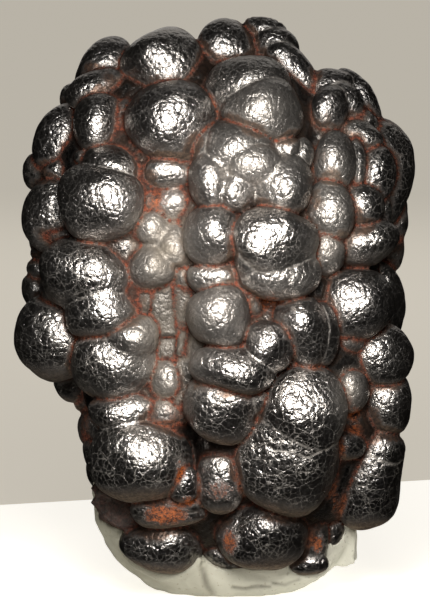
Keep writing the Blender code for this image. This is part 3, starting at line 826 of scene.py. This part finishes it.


# The stone's finish: hematite's grown skin has a glossy black to steel-grey metal lustre. It is hammered in
# cells of about a millimetre, with fine pale cracks; rust lies in the creases and dust in the hollows.
# Painted shade darkens the valleys, the broken columns and the ledges at the foot, and a painted reflection
# of the floor lies under the lower lumps.
def ore_material():
    """Kidney ore: dark metal skin, crackled, with brown haze and rust near the creases and dust patches."""
    material = bpy.data.materials.new("kidney_ore")
    material.use_nodes = True
    tree = material.node_tree
    shader = tree.nodes["Principled BSDF"]

    def held(name):
        """The output of one of the mesh's own attributes."""
        return add(tree, "ShaderNodeAttribute", attribute_name=name).outputs["Fac"]

    def feed(node, number, item):
        """Links an input to a socket, or sets it to a number or to the colour of a hex code."""
        if isinstance(item, (int, float)):
            node.inputs[number].default_value = item
        elif isinstance(item, str):
            node.inputs[number].default_value = linear(item)
        else:
            tree.links.new(item, node.inputs[number])

    def math_of(operation, first, second=0.0, clamp=False):
        """One arithmetic step on two sockets or numbers."""
        node = add(tree, "ShaderNodeMath", operation=operation, use_clamp=clamp)
        feed(node, 0, first)
        feed(node, 1, second)
        return node.outputs[0]

    def times(first, second):
        """The product of two sockets or numbers."""
        return math_of("MULTIPLY", first, second)

    def fade(source, start, end, low_value=0.0, high_value=1.0):
        """A smooth ramp of a socket from one value to another."""
        return add(
            tree, "ShaderNodeMapRange",
            {"From Min": start, "From Max": end, "To Min": low_value, "To Max": high_value},
            {"Value": source}, interpolation_type="SMOOTHSTEP",
        ).outputs["Result"]

    def mixed(share, first, second):
        """Two colours mixed by a socket."""
        node = add(tree, "ShaderNodeMix", links={0: share}, data_type="RGBA")
        feed(node, 6, first)
        feed(node, 7, second)
        return node.outputs[2]

    def blended(share, first, second):
        """Two numbers mixed by a socket."""
        node = add(tree, "ShaderNodeMix", links={0: share}, data_type="FLOAT")
        feed(node, 2, first)
        feed(node, 3, second)
        return node.outputs[0]

    place = add(tree, "ShaderNodeTexCoord").outputs["Object"]
    in_mm = add(
        tree, "ShaderNodeVectorMath", {1: (1.0 / MM,) * 3}, {0: place}, operation="MULTIPLY",
    ).outputs[0]

    def noise(size, detail=3.0, rough=0.55):
        """Noise with blotches of a size in mm."""
        return add(
            tree, "ShaderNodeTexNoise", {"Scale": 1.0 / size, "Detail": detail, "Roughness": rough},
            {"Vector": in_mm},
        )

    # Places moved up to 0.75 mm by noise, so that no crack runs straight.
    drift = add(
        tree, "ShaderNodeVectorMath", {1: (0.5, 0.5, 0.5)}, {0: noise(1.9).outputs["Color"]},
        operation="SUBTRACT",
    ).outputs[0]
    drift = add(
        tree, "ShaderNodeVectorMath", {1: (1.5, 1.5, 1.5)}, {0: drift}, operation="MULTIPLY",
    ).outputs[0]
    bent = add(tree, "ShaderNodeVectorMath", links={0: in_mm, 1: drift}, operation="ADD").outputs[0]

    def cells(size, feature):
        """Cells of a size in mm: the distance to the nearest cell's middle, or to its edge."""
        return add(tree, "ShaderNodeTexVoronoi", {"Scale": 1.0 / size}, {"Vector": bent}, feature=feature)

    # The crackle: edges of cells of 1.35 mm, patchy, and of 3.6 mm, as strong as the mesh says.
    fine_edge = cells(1.35, "DISTANCE_TO_EDGE").outputs["Distance"]
    wide_edge = cells(3.6, "DISTANCE_TO_EDGE").outputs["Distance"]
    fine_crack = fade(fine_edge, 0.0, 0.06, 1.0, 0.0)
    wide_crack = fade(wide_edge, 0.0, 0.024, 1.0, 0.0)
    patchy = fade(noise(5.0).outputs["Fac"], 0.40, 0.6, 0.15, 1.0)
    cracks = math_of("MAXIMUM", times(fine_crack, patchy), wide_crack)
    cracks = times(cracks, held("crackled"))

    # Rust fills the creases and spreads where the mesh says, and brown haze lies round it. Under the lumps,
    # more on the lower ones, a painted reflection of the floor lies as paler brown-grey with less lustre.
    # Pale seams run where lumps of one colony meet.
    crease_near = held("crease")
    broken_part = held("broken")
    rusty = held("rusty")
    ragged = times(math_of("SUBTRACT", noise(1.2, 5.0, 0.7).outputs["Fac"], 0.5), 1.2)
    near = math_of("ADD", crease_near, ragged)
    in_crease = fade(near, 0.05, 0.75, 0.9, 0.0)
    patch = fade(math_of("ADD", rusty, times(ragged, 0.2)), 0.4, 0.9)
    patch = times(patch, fade(near, 0.5, 1.9, 1.0, 0.0))
    covered = fade(math_of("ADD", rusty, times(ragged, 0.6)), 0.72, 0.98, 0.0, 0.9)
    rust = math_of("MAXIMUM", math_of("MAXIMUM", in_crease, patch), covered)
    reach = times(fade(noise(12.0).outputs["Fac"], 0.48, 0.66), 1.8)
    drawn = math_of("SUBTRACT", math_of("ADD", crease_near, times(ragged, 1.5)), reach)
    height = add(tree, "ShaderNodeSeparateXYZ", {}, {0: in_mm}).outputs["Z"]
    # Painted reflection: the downward faces of the lumps, more on the lower ones, take a paler brown-grey
    # and less lustre. It stands in for the floor that glossy rays pass by.
    underside_reflection = times(fade(held("under"), 0.3, 0.85), fade(height, 30.0, 80.0, 0.95, 0.45))
    haze_and_painted_reflection = math_of("MAXIMUM", fade(drawn, 0.3, 1.7, 1.0, 0.0), underside_reflection)
    dust = times(held("dusty"), fade(noise(5.0).outputs["Fac"], 0.2, 0.6, 0.6, 1.0))
    clean = math_of("SUBTRACT", 1.0, math_of("MAXIMUM", haze_and_painted_reflection, rust), clamp=True)
    seam = fade(math_of("ADD", held("wrinkle"), times(ragged, 0.5)), 0.0, 0.5, 0.85, 0.0)
    cracks = math_of("MAXIMUM", times(cracks, fade(clean, 0.2, 0.9)), seam)
    grit = fade(noise(0.9, 5.0, 0.75).outputs["Fac"], 0.38, 0.62)

    # Colour: steel and paler cracks. Then brown grime in the haze, with a painted reflection of the floor
    # paler under the lumps, and painted shade in the valleys. Then dust and painted shade on the broken
    # columns. Rust goes over all, itself darkened by painted shade in the valleys.
    steel = mixed(times(held("tone"), noise(14.0).outputs["Fac"]), "#7a7877", "#a5a29e")
    steel = mixed(times(cracks, 0.65), steel, "#c8c3bc")
    # Brown grime in the haze; on the undersides, a paler brown-grey that is a painted reflection of the
    # floor.
    grime_and_floor_reflection = mixed(underside_reflection, mixed(grit, "#261a14", "#4f3a2d"), mixed(grit, "#5f5145", "#988673"))
    steel = mixed(times(haze_and_painted_reflection, 0.9), steel, grime_and_floor_reflection)
    # Painted shade: where no lump owns the skin, in the valleys and crevices, the steel is darkened nearly
    # to black, less where dust lies.
    painted_valley_shade = times(held("valley"), math_of("SUBTRACT", 0.75, dust, clamp=True))
    steel = mixed(painted_valley_shade, steel, "#17110e")
    steel = mixed(dust, steel, "#6e685f")
    # Painted shade: the broken columns in the hollow are darkened, so that the lamps facing them light them
    # less.
    steel = mixed(times(held("column"), 0.62), steel, "#1f1c19")
    rust_colour = mixed(grit, "#240c07", mixed(fade(rusty, 0.42, 1.05), "#66301f", "#a35420"))
    # Painted shade: rust in the valleys is darkened too, less where the patches are strongly rusty.
    painted_rust_shade = times(held("valley"), fade(rusty, 0.3, 0.8, 0.9, 0.35))
    rust_colour = mixed(painted_rust_shade, rust_colour, "#22140f")
    skin_colour = mixed(rust, steel, rust_colour)

    streak = noise(6.0, 6.0, 0.7).outputs["Fac"]
    break_colour = mixed(fade(streak, 0.35, 0.65), "#665c5a", "#8d7b75")
    break_colour = mixed(fade(noise(11.0).outputs["Fac"], 0.52, 0.68), break_colour, "#7d4331")
    # The ledges at the foot: their own dark red-brown, darkened further to near black as painted shade.
    break_colour = mixed(held("ledge"), break_colour, mixed(grit, "#1d1210", "#4e2c22"))
    colour = mixed(broken_part, skin_colour, break_colour)

    # Finish: rust, dust and cracks take the metal lustre away, and the clean skin has a thin clear gloss.
    matt = math_of("MAXIMUM", times(rust, 0.95), times(dust, 0.5))
    matt = math_of("MAXIMUM", matt, times(cracks, 0.34))
    metal = math_of("SUBTRACT", 1.0, matt, clamp=True)
    metal = math_of("SUBTRACT", metal, times(haze_and_painted_reflection, 0.4), clamp=True)
    metal = blended(broken_part, metal, 0.25)
    rough = blended(noise(3.0).outputs["Fac"], 0.23, 0.36)
    rough = math_of("ADD", rough, times(cracks, 0.16))
    rough = math_of("ADD", rough, times(dust, 0.34))
    rough = math_of("ADD", rough, times(haze_and_painted_reflection, 0.08))
    rough = blended(rust, rough, 0.8)
    rough = blended(broken_part, rough, 0.46)
    coat = times(clean, math_of("SUBTRACT", 1.0, times(cracks, 0.8)))
    bare = math_of("SUBTRACT", math_of("SUBTRACT", 1.0, broken_part), dust, clamp=True)
    coat = times(times(coat, bare), 0.35)

    tree.links.new(colour, shader.inputs["Base Color"])
    tree.links.new(metal, shader.inputs["Metallic"])
    tree.links.new(rough, shader.inputs["Roughness"])

    # Relief too fine for the mesh: hammered cells of 1.3 and 0.55 mm, cracks, and the crumb of the rust.
    def domes(size):
        """Rounded bumps of a size in mm: less the square of the distance from each cell's middle."""
        distance = cells(size, "F1").outputs["Distance"]
        return times(times(distance, distance), -1.0)

    def raised(height, depth, before=None):
        """A bump of a depth in mm over the bump before it."""
        links = {"Height": height}
        if before:
            links["Normal"] = before
        bump = add(tree, "ShaderNodeBump", {"Strength": 1.0, "Distance": depth * MM}, links)
        return bump.outputs["Normal"]

    hammered = times(domes(1.3), fade(clean, 0.0, 0.8, 0.55, 1.0))
    normal = raised(hammered, 0.23)
    normal = raised(times(domes(0.55), fade(clean, 0.0, 0.8, 0.55, 1.0)), 0.08, normal)
    normal = raised(noise(2.6, 2.0).outputs["Fac"], 0.22, normal)
    normal = raised(times(cracks, -1.0), 0.02, normal)
    crumb = math_of("MAXIMUM", times(rust, 0.8), times(broken_part, 0.6))
    normal = raised(times(noise(0.7, 3.0, 0.7).outputs["Fac"], crumb), 0.5, normal)
    tree.links.new(normal, shader.inputs["Normal"])
    tree.links.new(normal, shader.inputs["Coat Normal"])
    tree.links.new(coat, shader.inputs["Coat Weight"])
    shader.inputs["Specular Tint"].default_value = linear("#a8a29c")
    shader.inputs["Coat Roughness"].default_value = 0.12
    shader.inputs["Coat IOR"].default_value = 1.6
    return material


hematite.data.materials.clear()
hematite.data.materials.append(ore_material())
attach(hematite, "root")
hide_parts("hematite")


# The putty.
# A pad of pale grey-green mounting putty, rolled, set down and pressed up round the stone's foot
# by thumb, so it has a dished top, folds and nicks in front, and a lip that clings to the lumps.
PAD_WIDTH = 32.5
PAD_FRONT = 17.0
PAD_BACK = 26.0
PAD_FULLNESS = 0.7
PAD_DIP = 2.5
PAD_LIP = 6.0
PAD_HORNS = 11.0
PAD_LEAN = 0.12
PAD_RISE = 0.3
PAD_CROWN = 2.0

# The pad's square corner at the right, as a slab: middle x, y, z, then half width, depth and height.
CORNER = (28.4, -1.0, 11.4, 5.0, 6.5, 4.4)
CORNER_MELT = 1.0
CLING = 1.3
CLING_HEIGHT = 2.5
PUTTY_GAP = -0.2

# Nicks and folds in the putty's front, each a run of face points (x, z), then its width and depth.
FOLDS = [
    (((4.5, 3.6), (7.5, 3.2), (10.5, 3.9), (13.5, 3.6)), 0.45, 0.8),
    (((14.5, 4.6), (17.5, 4.0), (21.0, 5.4)), 0.45, 0.8),
    (((-12.0, 2.6), (-7.0, 1.2), (-1.5, 0.6)), 0.9, 0.9),
    (((-3.0, 8.0), (-2.2, 4.0), (-0.5, 1.5)), 0.7, 0.7),
    (((-24.0, 12.0), (-20.0, 7.0), (-15.0, 4.4)), 0.8, 0.5),
    (((24.5, 8.0), (27.5, 11.5), (30.5, 13.0)), 0.8, 0.7),
]


def pad_distance(world):
    """Distance to the pad's form: a ball fuller to front and back than to the sides, its lower half hung
    from a dished rim, melted with the corner's slab; the signed height past top and bottom, over its own
    steepness on the lattice. With it, the share of the pad's half width and the rim's height."""
    x = world[..., 0]
    y = world[..., 1]
    z = world[..., 2]
    depth = np.where(y > 0.0, PAD_BACK, PAD_FRONT)
    out = (np.abs(y) / depth) ** (1.0 / PAD_FULLNESS)
    share = np.hypot(x / PAD_WIDTH, out)
    under = np.sqrt(np.maximum(0.0, 1.0 - share * share))
    dish = PAD_LIP + PAD_HORNS * (x / PAD_WIDTH) ** 2 - PAD_LEAN * x + PAD_RISE * (y + PAD_FRONT)
    dish = dish + 0.7 * waves(world[..., :2], 15.0, 61)
    top = z - dish - PAD_CROWN * under
    bottom = (dish + PAD_DIP) * (1.0 - under) - PAD_DIP - z
    past = -melt(-top, -np.maximum(bottom, (share - 1.0) * PAD_WIDTH), 2.5)
    slab = np.max([
        np.abs(x - CORNER[0]) - CORNER[3],
        np.abs(y - CORNER[1]) - CORNER[4],
        np.abs(z - CORNER[2]) - CORNER[5],
    ], axis=0)
    past = melt(past, slab, CORNER_MELT)
    slopes = np.gradient(past, PUTTY_STEP)
    steep = np.sqrt(sum(slope * slope for slope in slopes))
    return past / np.maximum(steep, 1.0), share, dish


PUTTY_STEP = 0.6
low, high = (np.array(corner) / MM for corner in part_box("mounting_putty"))
low = low - np.array([1.5, 1.5, 1.2])
high = high + np.array([1.5, 1.5, 2.0])
places = lattice(low, high, PUTTY_STEP)
face = to_face(places)
stone_near = stone_on_lattice(places)
pad, share, dish = pad_distance(places)

# Folds and dents from fingers, then the lip: as far as CLING from the stone and CLING_HEIGHT over the rim.
pad = pad + grooves(face, FOLDS) + 0.22 * waves(places, 6.5, 62) + 0.12 * waves(places, 3.1, 63)
lip = np.maximum(stone_near - CLING, places[..., 2] - dish - CLING_HEIGHT - 1.2 * waves(places, 9.0, 64))
lip = np.maximum(lip, (share - 1.0) * PAD_WIDTH)
pad = melt(pad, lip, 2.0)
pad = np.maximum(pad, PUTTY_GAP - stone_near)
pad = np.maximum(pad, 0.02 - places[..., 2])
points, quads = net(pad, low, PUTTY_STEP)


def largest_body(points, quads):
    """The largest connected body: each point takes the smallest number in its quads until none changes."""
    label = np.arange(len(points))
    while True:
        least = label[quads].min(axis=1)
        fresh = label.copy()
        np.minimum.at(fresh, quads.ravel(), np.repeat(least, 4))
        fresh = fresh[fresh]
        if (fresh == label).all():
            break
        label = fresh
    kept_label = np.bincount(label[quads[:, 0]]).argmax()
    kept = label == kept_label
    number = np.cumsum(kept) - 1
    return points[kept], number[quads[kept[quads[:, 0]]]]


putty = new_piece("putty_pad", *largest_body(points, quads))
keep_attribute(putty.data, "fold", grooves(to_face(read(putty.data, "co") / MM), FOLDS))


def putty_material():
    """Mounting putty: matt, pale grey-green, darkened in its folds by grime and painted shade, specked with
    grime where it was handled, and paler towards the right with painted light.
    """
    material = bpy.data.materials.new("mounting_putty")
    material.use_nodes = True
    tree = material.node_tree
    shader = tree.nodes["Principled BSDF"]
    place = add(tree, "ShaderNodeTexCoord").outputs["Object"]
    blotch = add(tree, "ShaderNodeTexNoise", {"Scale": 1.0 / (9.0 * MM), "Detail": 4.0}, {"Vector": place})
    speck = add(tree, "ShaderNodeTexNoise", {"Scale": 1.0 / (0.9 * MM), "Detail": 3.0}, {"Vector": place})

    def part(source, start, end):
        """How far a socket is from one value to another, from 0 to 1."""
        node = add(tree, "ShaderNodeMapRange", {"From Min": start, "From Max": end}, {"Value": source})
        return node.outputs["Result"]

    def tinted(share, colour, tint):
        """A colour mixed towards a tint by a socket."""
        node = add(tree, "ShaderNodeMix", {7: linear(tint)}, {0: share, 6: colour}, data_type="RGBA")
        return node.outputs[2]

    # Grey-green in blotches, paler towards the right as painted light, then specks of grime, and the folds
    # darkened with dirt and painted shade.
    shades = {6: linear("#868475"), 7: linear("#9b9a8c")}
    shade = {0: part(blotch.outputs["Fac"], 0.35, 0.65)}
    colour = add(tree, "ShaderNodeMix", shades, shade, data_type="RGBA").outputs[2]
    along = add(tree, "ShaderNodeSeparateXYZ", {}, {0: place}).outputs["X"]
    # Painted light: the putty paler towards its right side.
    colour = tinted(part(along, -20.0 * MM, 34.0 * MM), colour, "#cacabd")
    colour = tinted(part(speck.outputs["Fac"], 0.62, 0.78), colour, "#7d7865")
    fold = add(tree, "ShaderNodeAttribute", attribute_name="fold").outputs["Fac"]
    # Painted shade with some dirt: the folds darkened.
    colour = tinted(fold, colour, "#3d3729")
    tree.links.new(colour, shader.inputs["Base Color"])
    shader.inputs["Roughness"].default_value = 0.62
    dimple = add(
        tree, "ShaderNodeBump", {"Strength": 1.0, "Distance": 0.5 * MM}, {"Height": blotch.outputs["Fac"]},
    )
    grain = add(
        tree, "ShaderNodeBump", {"Strength": 1.0, "Distance": 0.10 * MM},
        {"Height": speck.outputs["Fac"], "Normal": dimple.outputs["Normal"]},
    )
    tree.links.new(grain.outputs["Normal"], shader.inputs["Normal"])
    return material


putty.data.materials.append(putty_material())
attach(putty, "root")
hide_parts("mounting_putty")
